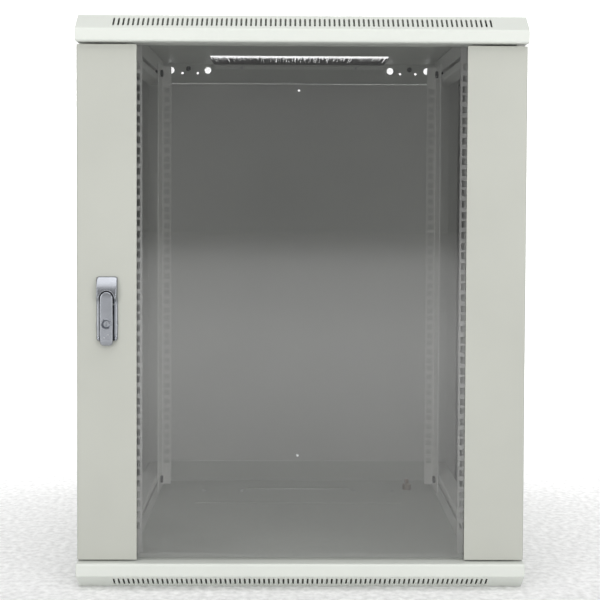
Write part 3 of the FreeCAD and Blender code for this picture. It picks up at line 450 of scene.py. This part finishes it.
def lock_place(across, above, height):
    """A place on the lock, in millimetres from the pivot and above the door's skin."""
    return Vector((lock_x + across * MM, door_skin - height * MM, lever_pivot + above * MM))


def quarter_round(distance, radius):
    """Rounded edge: 0 on the edge, 1 from one radius inside it."""
    short = 1 - max(0.0, min(1.0, distance / radius))
    return (1 - short * short) ** 0.5


def smooth_step(value):
    """Soft ramp from 0 to 1."""
    value = max(0.0, min(1.0, value))
    return value * value * (3 - 2 * value)


# %% outline and height of the casting
def ears(above):
    """Two slight swellings of the base's sides."""
    return sum(smooth_step(1 - abs(above - middle) / 6) for middle in (-4, -36))


def corner_inset(from_end, radius):
    """How far a rounded corner draws a side in, at a distance from the end."""
    short = min(radius, max(0.0, radius - from_end))
    return radius - (radius * radius - short * short) ** 0.5


def base_edge(across, above):
    """Point of the base's edge that belongs to a point of the lever's opening."""
    side = 1 if across > 0 else -1
    if above <= 0:
        reach = base_half - EAR + EAR * ears(above) - corner_inset(above + base_foot, 4.0)
        return side * reach, above
    wide = base_half - EAR
    stretch = min(wide / max(abs(across), 1e-6), base_top / max(above, 1e-6))
    x, z = across * stretch, above * stretch
    x -= side * corner_inset(base_top - z, 2.5) * abs(x) / wide
    return x + side * EAR * ears(z) * abs(x) / wide, z


def casting_height(across, above, from_edge, from_opening):
    """Height of the cast surface above the door's skin."""
    hood = HOOD_HEIGHT - HOOD_FALL * (max(0.0, above) / base_top) ** 1.9
    shoulder = smooth_step((above - SHOULDER_START) / SHOULDER_LENGTH)
    height = RAIL_HEIGHT + (hood - RAIL_HEIGHT) * shoulder
    foot_x = abs(across) - (base_half - FOOT_INSET[0])
    foot_z = above + base_foot - FOOT_INSET[1]
    height += FOOT_RISE * max(0.0, 1 - (foot_x ** 2 + foot_z ** 2) / 6.5)
    height *= 0.25 + 0.75 * quarter_round(from_edge, 2.2)
    height *= 0.40 + 0.60 * quarter_round(above + base_foot, 2.0)
    return height * (0.90 + 0.10 * quarter_round(from_opening, 0.9))


# %% cast base
def wall_to(bm, depth):
    """Draw a wall from every open edge to a depth in the door."""
    rim = [edge for edge in bm.edges if edge.is_boundary]
    for item in bmesh.ops.extrude_edge_only(bm, edges=rim)["geom"]:
        if isinstance(item, bmesh.types.BMVert):
            item.co.y = depth


def opening_points(along, around):
    """The lever's opening: up the left side, round the head, down the right side."""
    up = [(-OPENING, -base_foot * (1 - step / along)) for step in range(along)]
    arc = [(-OPENING * cos(pi * step / around), OPENING * sin(pi * step / around))
           for step in range(around + 1)]
    down = [(OPENING, -base_foot * (step + 1) / along) for step in range(along)]
    return up + arc + down


def make_lock_base():
    """U-shaped casting: two rails that flow into the hood."""
    across_steps = 18
    bm = bmesh.new()
    rows = []
    for x, z in opening_points(60, 72):
        edge_x, edge_z = base_edge(x, z)
        length = ((edge_x - x) ** 2 + (edge_z - z) ** 2) ** 0.5
        row = []
        for step in range(across_steps + 1):
            share = 0.5 - 0.5 * cos(pi * step / across_steps)
            place_x, place_z = x + (edge_x - x) * share, z + (edge_z - z) * share
            height = casting_height(place_x, place_z, (1 - share) * length, share * length)
            row.append(bm.verts.new(lock_place(place_x, place_z, height)))
        rows.append(row)
    for row, after in zip(rows, rows[1:]):
        for step in range(across_steps):
            bm.faces.new((row[step], row[step + 1], after[step + 1], after[step]))
    wall_to(bm, door_skin)
    bmesh.ops.recalc_face_normals(bm, faces=bm.faces)
    return finish_piece("lock_casting", bm, chrome, "door", ["lock_base"], sharp=50)


def make_lock_channel_shade_plate():
    """Low plate between the rails, with a round hole behind the lever's head; its black finish is painted shade for the
    dark gaps round the lever.
    """
    outer = OPENING + 0.3
    length = base_foot - CHANNEL_TOP
    bm = bmesh.new()
    rounded_slab(bm, (2 * outer, length), CHANNEL_HEIGHT, (3.0, 3.0, 0, 0), 0)
    middle = lock_place(0, -CHANNEL_TOP - length / 2, 0)
    bmesh.ops.transform(bm, matrix=Matrix.Translation(middle) @ Matrix.Rotation(pi / 2, 4, "X"),
                        verts=bm.verts)
    outline = [(-outer, -CHANNEL_TOP)]
    outline += [(-outer * cos(pi * step / 48), outer * sin(pi * step / 48)) for step in range(49)]
    outline += [(outer, -CHANNEL_TOP)]
    rows = []
    for x, z in outline:
        inward = HEAD_HOLE_RADIUS / (x * x + z * z) ** 0.5
        rows.append([bm.verts.new(lock_place(x * share, z * share, CHANNEL_HEIGHT))
                     for share in (1, inward)])
    for row, after in zip(rows, rows[1:]):
        bm.faces.new((row[0], row[1], after[1], after[0]))
    wall_to(bm, door_skin)
    bmesh.ops.recalc_face_normals(bm, faces=bm.faces)
    # The black finish on this plate is painted shade: it darkens the gaps between the lever, the rails and the hood.
    return finish_piece("lock_channel_floor_painted_shade", bm, black_oxide, "door")


def make_lock_boss():
    """Boss behind the plate that the spindle turns in."""
    bm = bmesh.new()
    turned(bm, ring_profile(11.0, 9.9, 0.2, 14.0, 0.4))
    bmesh.ops.transform(bm, matrix=facing((0, 1, 0), lock_place(0, 0, 0)), verts=bm.verts)
    return finish_piece("lock_boss", bm, zinc, "door")


make_lock_base()
make_lock_channel_shade_plate()
make_lock_boss()

# %% lever
LEVER_BACK = 3.5
LEVER_FRONT = 9.7
LEVER_CROWN = 0.25
TAIL_SLOPE = 7.0
TAIL_DROP = 2.4
KEY_RING = 7.2
KEY_HOLE = 6.1
KEY_DROP = (lever_pivot - key_centre) / MM
COLLAR_TOP = 10.9
DOTS = ((-2.6, -18.0), (2.6, -14.2))


def lever_outline(along, around):
    """Edge of the lever, from the middle of its tail up the right side and round."""
    corner = 5.5
    half = []
    flat = lever_half - corner
    for step in range(4):
        half.append((flat * step / 4, -lever_tail))
    for step in range(13):
        angle = pi / 2 * step / 12
        half.append((flat + corner * sin(angle), -lever_tail + corner - corner * cos(angle)))
    side = lever_tail - corner
    half += [(lever_half, -side + side * (step + 1) / along) for step in range(along)]
    half += [(lever_half * cos(pi / 2 * step / around), lever_half * sin(pi / 2 * step / around))
             for step in range(1, around + 1)]
    return half + [(-x, z) for x, z in half[-2:0:-1]]


def lever_height(share, from_edge, above):
    """Front of the lever: a rounded edge, a slight crown and a tail that slopes to the door."""
    crown = LEVER_CROWN * (1 - (1 - share) ** 2)
    tail = TAIL_DROP * max(0.0, 1 - (above + lever_tail) / TAIL_SLOPE) ** 2
    return LEVER_FRONT - LEVER_CROWN + crown - tail - 1.3 * (1 - quarter_round(from_edge, 1.3))


def bore_key_hole(bm):
    """Open the lever where the key cylinder goes and draw the hole's edge inwards."""
    centre = lock_place(0, -KEY_DROP, 0)

    def from_key(place):
        return Vector((place.x - centre.x, place.z - centre.z)).length

    inside = [f for f in bm.faces if f.normal.y < -0.5
              and all(from_key(v.co) < KEY_HOLE * MM for v in f.verts)]
    bmesh.ops.delete(bm, geom=inside, context="FACES")
    rim = [e for e in bm.edges if e.is_boundary and all(from_key(v.co) < 1.3 * KEY_HOLE * MM
           and v.co.y < lock_place(0, 0, LEVER_FRONT - 2).y for v in e.verts)]
    for vert in {v for e in rim for v in e.verts}:
        out = Vector((vert.co.x - centre.x, 0, vert.co.z - centre.z)).normalized()
        vert.co.x, vert.co.z = (centre + out * KEY_HOLE * MM).x, (centre + out * KEY_HOLE * MM).z
    bore = bmesh.ops.extrude_edge_only(bm, edges=rim)["geom"]
    bmesh.ops.translate(bm, verts=[v for v in bore if isinstance(v, bmesh.types.BMVert)],
                        vec=(0, 3.0 * MM, 0))


def make_lever():
    """Crowned lever with a round head, an eased tail and the key hole."""
    steps = 16
    bm = bmesh.new()
    rows = []
    for x, z in lever_outline(70, 28):
        middle = max(-lever_tail + lever_half, min(0.0, z))
        length = (x * x + (z - middle) ** 2) ** 0.5
        row = []
        for step in range(steps + 1):
            share = (step / steps) ** 1.5
            above = z + (middle - z) * share
            height = lever_height(share, share * length, above)
            row.append(bm.verts.new(lock_place(x * (1 - share), above, height)))
        rows.append(row)
    for row, after in zip(rows, rows[1:] + rows[:1]):
        for step in range(steps):
            bm.faces.new((row[step], after[step], after[step + 1], row[step + 1]))
    bmesh.ops.remove_doubles(bm, verts=bm.verts, dist=1e-6)
    wall_to(bm, lock_place(0, 0, LEVER_BACK).y)
    back_edges = [e for e in bm.edges if e.is_boundary]
    bmesh.ops.edgeloop_fill(bm, edges=back_edges)
    bmesh.ops.recalc_face_normals(bm, faces=bm.faces)
    bore_key_hole(bm)
    return finish_piece("swing_lever", bm, chrome, "lever", ["lock_lever"], sharp=50)


def make_key_collar():
    """Raised collar round the key cylinder, with a rounded lip."""
    low = LEVER_FRONT - 0.6
    profile = [(KEY_HOLE, low), (KEY_RING, low), (KEY_RING, COLLAR_TOP - 0.7),
               (KEY_RING - 0.2, COLLAR_TOP - 0.2), (KEY_RING - 0.55, COLLAR_TOP),
               (KEY_HOLE + 0.25, COLLAR_TOP - 0.1), (KEY_HOLE, COLLAR_TOP - 0.5), (KEY_HOLE, low)]
    bm = bmesh.new()
    turned(bm, profile, 48)
    bmesh.ops.transform(bm, matrix=facing((0, -1, 0), lock_place(0, -KEY_DROP, 0)), verts=bm.verts)
    return finish_piece("key_collar", bm, chrome, "lever", sharp=50)


def make_lever_dots():
    """Two small studs that show where the key points when locked and open."""
    bm = bmesh.new()
    turned(bm, [(0, 0.5), (0.45, 0.42), (0.8, 0.1), (0.85, -0.3)], 16)
    places = [facing((0, -1, 0), lock_place(across, below - KEY_DROP, LEVER_FRONT - 0.05))
              for across, below in DOTS]
    copies(bm, places)
    return finish_piece("key_position_dots", bm, zinc, "lever", sharp=60)


make_lever()
make_key_collar()
make_lever_dots()


# %% helper: recesses in a flat top
def flat_top(bm, level):
    """Faces that lie flat at a level."""
    return [face for face in bm.faces if face.normal.z > 0.95
            and abs(face.calc_center_median().z - level * MM) < 0.02 * MM]


def divide_flat_top(bm, level, direction, reach):
    """Divide the flat top along a line at a distance from the axis."""
    geometry = dict.fromkeys(item for face in flat_top(bm, level)
                             for item in (face, *face.edges, *face.verts))
    bmesh.ops.bisect_plane(bm, geom=list(geometry), dist=1e-7,
                           plane_co=Vector(direction) * reach * MM, plane_no=direction)


def push_down(bm, faces, depth):
    """Sink faces straight down, with walls round them."""
    sunk = bmesh.ops.extrude_face_region(bm, geom=faces)["geom"]
    bmesh.ops.delete(bm, geom=faces, context="FACES_ONLY")
    floor = [item for item in sunk if isinstance(item, bmesh.types.BMVert)]
    bmesh.ops.translate(bm, verts=floor, vec=(0, 0, -depth * MM))


# %% key cylinder
KEY_FACE_RADIUS = 5.95
KEY_FACE_DEPTH = 2.8
KEYWAY_HALF = (0.7, 3.3)


def make_key_cylinder():
    """Cylinder face at the bottom of a cone, with its keyway."""
    radius = KEY_FACE_RADIUS
    face = LEVER_FRONT - KEY_FACE_DEPTH
    bm = bmesh.new()
    turned(bm, [(0, LEVER_BACK + 0.4), (radius, LEVER_BACK + 0.4), (radius, COLLAR_TOP - 0.9),
                (radius - 0.35, COLLAR_TOP - 0.75), (radius - 2.0, face), (0, face)], 48)
    half_x, half_y = KEYWAY_HALF
    for direction, reach in (((-1, 0, 0), half_x), ((1, 0, 0), half_x),
                             ((0, -1, 0), half_y), ((0, 1, 0), half_y)):
        divide_flat_top(bm, face, direction, reach)
    keyway = [item for item in flat_top(bm, face) if abs(item.calc_center_median().x) < half_x * MM
              and abs(item.calc_center_median().y) < half_y * MM]
    push_down(bm, keyway, 2.0)
    bmesh.ops.transform(bm, matrix=Matrix.Translation(lock_place(0, -KEY_DROP, 0))
                        @ Matrix.Rotation(pi / 2, 4, "X"), verts=bm.verts)
    return finish_piece("key_cylinder_face", bm, chrome, "key", ["key_cylinder"])


make_key_cylinder()

# %% [markdown]
# ## Cable brush
# The brush is one row of nylon bristles, clamped in a channel at the rear, whose free tips
# stop a little short of the front edge of the roof's cut-out. Each tuft is a thin tapered spike of a few faces, because
# there are hundreds. A seeded random lean, droop and length keeps them from looking cut.

# %% brush
TUFT_PITCH = 1.6
TUFT_RADIUS = 0.75


def make_bristles():
    """Three layers of tufts from the channel towards the front edge of the cut-out."""
    chance = random.Random(7)
    low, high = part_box("brush_bristles")
    width = (high.x - low.x) / MM
    reach = (high.y - low.y) / MM
    level = (low.z + high.z) / 2
    bm = bmesh.new()
    bmesh.ops.create_cone(bm, cap_ends=True, segments=5, radius1=TUFT_RADIUS * MM,
                          radius2=TUFT_RADIUS * 0.55 * MM, depth=MM)
    bmesh.ops.translate(bm, verts=bm.verts, vec=(0, 0, 0.5 * MM))
    places = []
    count = int(width / TUFT_PITCH)
    for layer in (-1, 0, 1):
        for number in range(count):
            x = low.x + (number + 0.5 + 0.3 * layer) * width / count * MM
            x = min(max(x, low.x + MM), high.x - MM)
            length = reach * chance.uniform(0.93, 1.03)
            lean = Vector((chance.uniform(-0.02, 0.02), -1, chance.uniform(-0.014, 0.002)))
            place = facing(lean, (x, high.y, level + layer * 0.7 * MM))
            places.append(place @ Matrix.Diagonal((1, 1, length, 1)))
    copies(bm, places)
    return finish_piece("brush_tufts", bm, bristle_nylon, "cabinet", ["brush_bristles"])


make_bristles()

# %% [markdown]
# ## Screws
# A pan head is a spun profile with a flat top. The cross recess is cut the way a punch makes
# it: the flat is divided along the edges of the cross, and the faces inside are pushed down.

# %% cross recess
def cut_cross(bm, level, reach, depth):
    """Sink a cross of a given reach into the flat top at a level."""
    arm = reach * 0.28
    for distance in (arm, reach):
        for direction in ((1, 0, 0), (-1, 0, 0), (0, 1, 0), (0, -1, 0)):
            divide_flat_top(bm, level, direction, distance)
    inside = []
    for face in flat_top(bm, level):
        x, y = abs(face.calc_center_median().x) / MM, abs(face.calc_center_median().y) / MM
        if (x < arm and y < reach) or (y < arm and x < reach):
            inside.append(face)
    push_down(bm, inside, depth)


# %% cross-recess head
def cross_head(bm, radius, height, recess):
    """Pan head of a radius and height, with a cross recess of a given reach."""
    turned(bm, [(0, 0), (radius, 0), (radius, height * 0.35), (radius * 0.86, height * 0.8),
                (radius * 0.66, height), (0, height)], 20)
    cut_cross(bm, height, recess, height * 0.6)


# %% back panel and floor cover screws
def centres_of(node, count_axis):
    """Middle of each separate solid of a CAD node, found by joining touching vertices."""
    bm = bmesh.new()
    bm.from_mesh(nodes[node].data)
    bmesh.ops.remove_doubles(bm, verts=bm.verts, dist=1e-6)
    left = set(bm.verts)
    boxes = []
    while left:
        island = [left.pop()]
        for vert in island:
            for edge in vert.link_edges:
                other = edge.other_vert(vert)
                if other in left:
                    left.remove(other)
                    island.append(other)
        low = Vector([min(v.co[axis] for v in island) for axis in range(3)])
        high = Vector([max(v.co[axis] for v in island) for axis in range(3)])
        boxes.append((low, high))
    bm.free()
    return sorted(boxes, key=lambda pair: pair[0][count_axis])


def make_screws(name, node, body, direction, head, finish):
    """Cross-recess heads on the outer end of each solid of a screw node."""
    radius, height, recess = head
    axis = max(range(3), key=lambda number: abs(direction[number]))
    bm = bmesh.new()
    cross_head(bm, radius, height, recess)
    places = []
    for low, high in centres_of(node, 2):
        place = (low + high) / 2
        outer = high[axis] if direction[axis] > 0 else low[axis]
        place[axis] = outer - direction[axis] * height * MM
        places.append(facing(direction, place))
    copies(bm, places)
    return finish_piece(name, bm, finish, body, [node])


make_screws("back_screw_heads", "back_panel_screws", "cabinet", (0, 1, 0), (4.0, 1.0, 2.2), zinc)
make_screws("cover_screw_heads", "floor_cover_screws", "cabinet", (0, 0, 1), (4.0, 1.6, 2.4), zinc)
make_screws("brush_screw_heads", "brush_screws", "cabinet", (0, -1, 0), (2.4, 1.2, 1.5), zinc)

# %% [markdown]
# ## Earth stud
# The stud shows its thread above the nut. A thread this small reads as a stack of V grooves,
# so it is a spun zigzag; the nut is a six-sided prism whose corners are cut by a cone.

# %% stud and nut
stud_low, stud_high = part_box("earth_stud")
stud_centre = (stud_low + stud_high) / 2


def make_stud():
    """Threaded stud with a domed tip."""
    radius = (stud_high.x - stud_low.x) / 2 / MM
    height = (stud_high.z - stud_low.z) / MM
    pitch, depth = 1.25, 0.6
    profile = [(0, 0.02), (radius, 0.02)]
    level = 1.0
    while level < height - 2:
        profile.append((radius, level))
        profile.append((radius - depth, level + pitch / 2))
        level += pitch
    profile += [(radius, level), (radius - 0.8, height - 0.4), (radius - 1.6, height), (0, height)]
    bm = bmesh.new()
    turned(bm, profile, 28)
    bmesh.ops.translate(bm, verts=bm.verts, vec=(stud_centre.x, stud_centre.y, stud_low.z))
    return finish_piece("earth_stud_thread", bm, brass, "cabinet", ["earth_stud"])


def make_earth_nut():
    """Chamfered nut over a plain and a toothed washer."""
    low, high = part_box("earth_fasteners")
    washer_height, nut_flats = 1.6, 13.0
    bm = bmesh.new()
    turned(bm, ring_profile(8.0, 4.1, 0, 1.5, 0.2), 36)
    lock_washer = bmesh.new()
    turned(lock_washer, ring_profile(7.0, 4.1, 0, 1.4, 0.3), 24)
    for number, vert in enumerate(sorted(lock_washer.verts, key=lambda v: atan2(v.co.y, v.co.x))):
        if vert.co.xy.length > 5 * MM:
            vert.co.z += (0.25 if number // 8 % 2 else -0.1) * MM
    bmesh.ops.translate(lock_washer, verts=lock_washer.verts, vec=(0, 0, washer_height * MM))
    nut = bmesh.new()
    nut_low, nut_high = 2 * washer_height, (high.z - low.z) / MM
    flat_radius = nut_flats / 2 / cos(pi / 6)
    turned(nut, [(4.1, nut_low), (flat_radius, nut_low), (flat_radius, nut_high - 0.1),
                 (4.6, nut_high - 0.1), (4.1, nut_high - 0.6), (4.1, nut_low)], 6)
    rim = [edge for edge in nut.edges if all(v.co.z > (nut_high - 0.2) * MM and
           v.co.xy.length > 6 * MM for v in edge.verts)]
    bmesh.ops.bevel(nut, geom=rim, offset=0.7 * MM, affect="EDGES", segments=2, profile=0.5, material=-1)
    spare = bpy.data.meshes.new("spare")
    for extra in (lock_washer, nut):
        extra.to_mesh(spare)
        extra.free()
        bm.from_mesh(spare)
    bpy.data.meshes.remove(spare)
    bmesh.ops.translate(bm, verts=bm.verts, vec=(stud_centre.x, stud_centre.y, low.z))
    return finish_piece("earth_nut_and_washers", bm, brass, "cabinet",
                        ["earth_fasteners"])


make_stud()
make_earth_nut()

# %% [markdown]
# ## Seals
# The door closes on a strip of foam with a soft, rounded front. The pane sits on a rubber
# strip whose edge shows as a thin dark line beside each stile.

# %% seals
def make_strip(name, boxes, round_radius, finish, body, node):
    """Long strips with their front edges rounded, one for each box."""
    bm = bmesh.new()
    for low, high in boxes:
        made = bmesh.ops.create_cube(bm, size=1.0)["verts"]
        size = high - low
        bmesh.ops.scale(bm, verts=made, vec=size)
        bmesh.ops.translate(bm, verts=made, vec=(low + high) / 2)
        rim = {edge for vert in made for edge in vert.link_edges
               if all(abs(v.co.y - low.y) < 1e-6 for v in edge.verts)
               and abs(edge.verts[0].co.z - edge.verts[1].co.z) > 0.01}
        bmesh.ops.bevel(bm, geom=list(rim), offset=round_radius * MM, affect="EDGES", segments=5,
                        profile=0.5, material=-1)
    return finish_piece(name, bm, finish, body, [node])


make_strip("door_foam", centres_of("door_seal", 0), 2.4, foam_rubber, "cabinet",
           "door_seal")
make_strip("pane_rubber", centres_of("glass_seal", 0), 0.9, foam_rubber, "door",
           "glass_seal")


# %% [markdown]
# ## Hinge spring
# The upper hinge pin is pulled down against a small coil spring. The CAD coil has the right
# shape, so a copy of it is used, with a mesh of its own.

# %% hinge spring
def make_pin_spring():
    """Coil spring copied from the CAD coil, with a mesh of its own."""
    slot = slot_of_node["hinge_spring"]
    bm = bmesh.new()
    bm.from_mesh(nodes["hinge_spring"].data)
    bmesh.ops.remove_doubles(bm, verts=bm.verts, dist=1e-6)
    spring = finish_piece("pin_spring", bm, finish_of_slot[slot], "door", ["hinge_spring"], sharp=60)
    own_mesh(spring)


make_pin_spring()


# %% rivets in the roof's rear flange
def make_rivets():
    """Domed heads of the two flange rivets, seen from inside."""
    bm = bmesh.new()
    turned(bm, [(0, 1.4), (1.6, 1.3), (3.2, 0.85), (4.2, 0.3), (4.5, 0.0), (2.3, 0.0), (2.3, -1.4),
                (0, -1.4)], 24)
    places = []
    for low, high in centres_of("rear_flange_rivets", 0):
        centre = (low + high) / 2
        places.append(facing((0, -1, 0), (centre.x, high.y - 1.5 * MM, centre.z)))
    copies(bm, places)
    return finish_piece("flange_rivet_domes", bm, black_oxide, "cabinet",
                        ["rear_flange_rivets"])


make_rivets()

# %% [markdown]
# ## Light
# Catalogue light is a very large soft source overhead and in front, a low soft box on each
# side to open the shadows, and a light behind the cabinet that faces away from it and turns
# the sweep white. Area lights give the wide, even highlights that sheet metal shows.

# %% lights
def add_area_light(name, place, aim, size, power):
    """Rectangular soft light at a place, aimed at a point."""
    data = bpy.data.lights.new(name, "AREA")
    data.shape = "RECTANGLE"
    data.size, data.size_y = size
    data.energy = power
    made = bpy.data.objects.new(name, data)
    made.location = place
    made.rotation_euler = (Vector(aim) - Vector(place)).to_track_quat("-Z", "Y").to_euler()
    bpy.context.scene.collection.objects.link(made)
    return made


MIDDLE = (0, 0, 0.385)
add_area_light("overhead_light", (0, -4.7, 3.6), (0, -4.7, 0), (5.0, 8.0), 240)
add_area_light("left_softbox", (-2.4, -3.0, 0.9), MIDDLE, (1.4, 1.6), 33)
add_area_light("right_softbox", (2.4, -3.0, 0.9), MIDDLE, (1.4, 1.6), 39)
add_area_light("backdrop_light", (0, 0.9, 2.6), (0, 3.9, 1.2), (5.0, 1.2), 220)

world = bpy.data.worlds.new("studio_surround")
bpy.context.scene.world = world
world.use_nodes = True
world.node_tree.nodes["Background"].inputs["Color"].default_value = (1.0, 1.0, 1.0, 1)
world.node_tree.nodes["Background"].inputs["Strength"].default_value = 0.25
bpy.context.scene.view_settings.view_transform = "Standard"
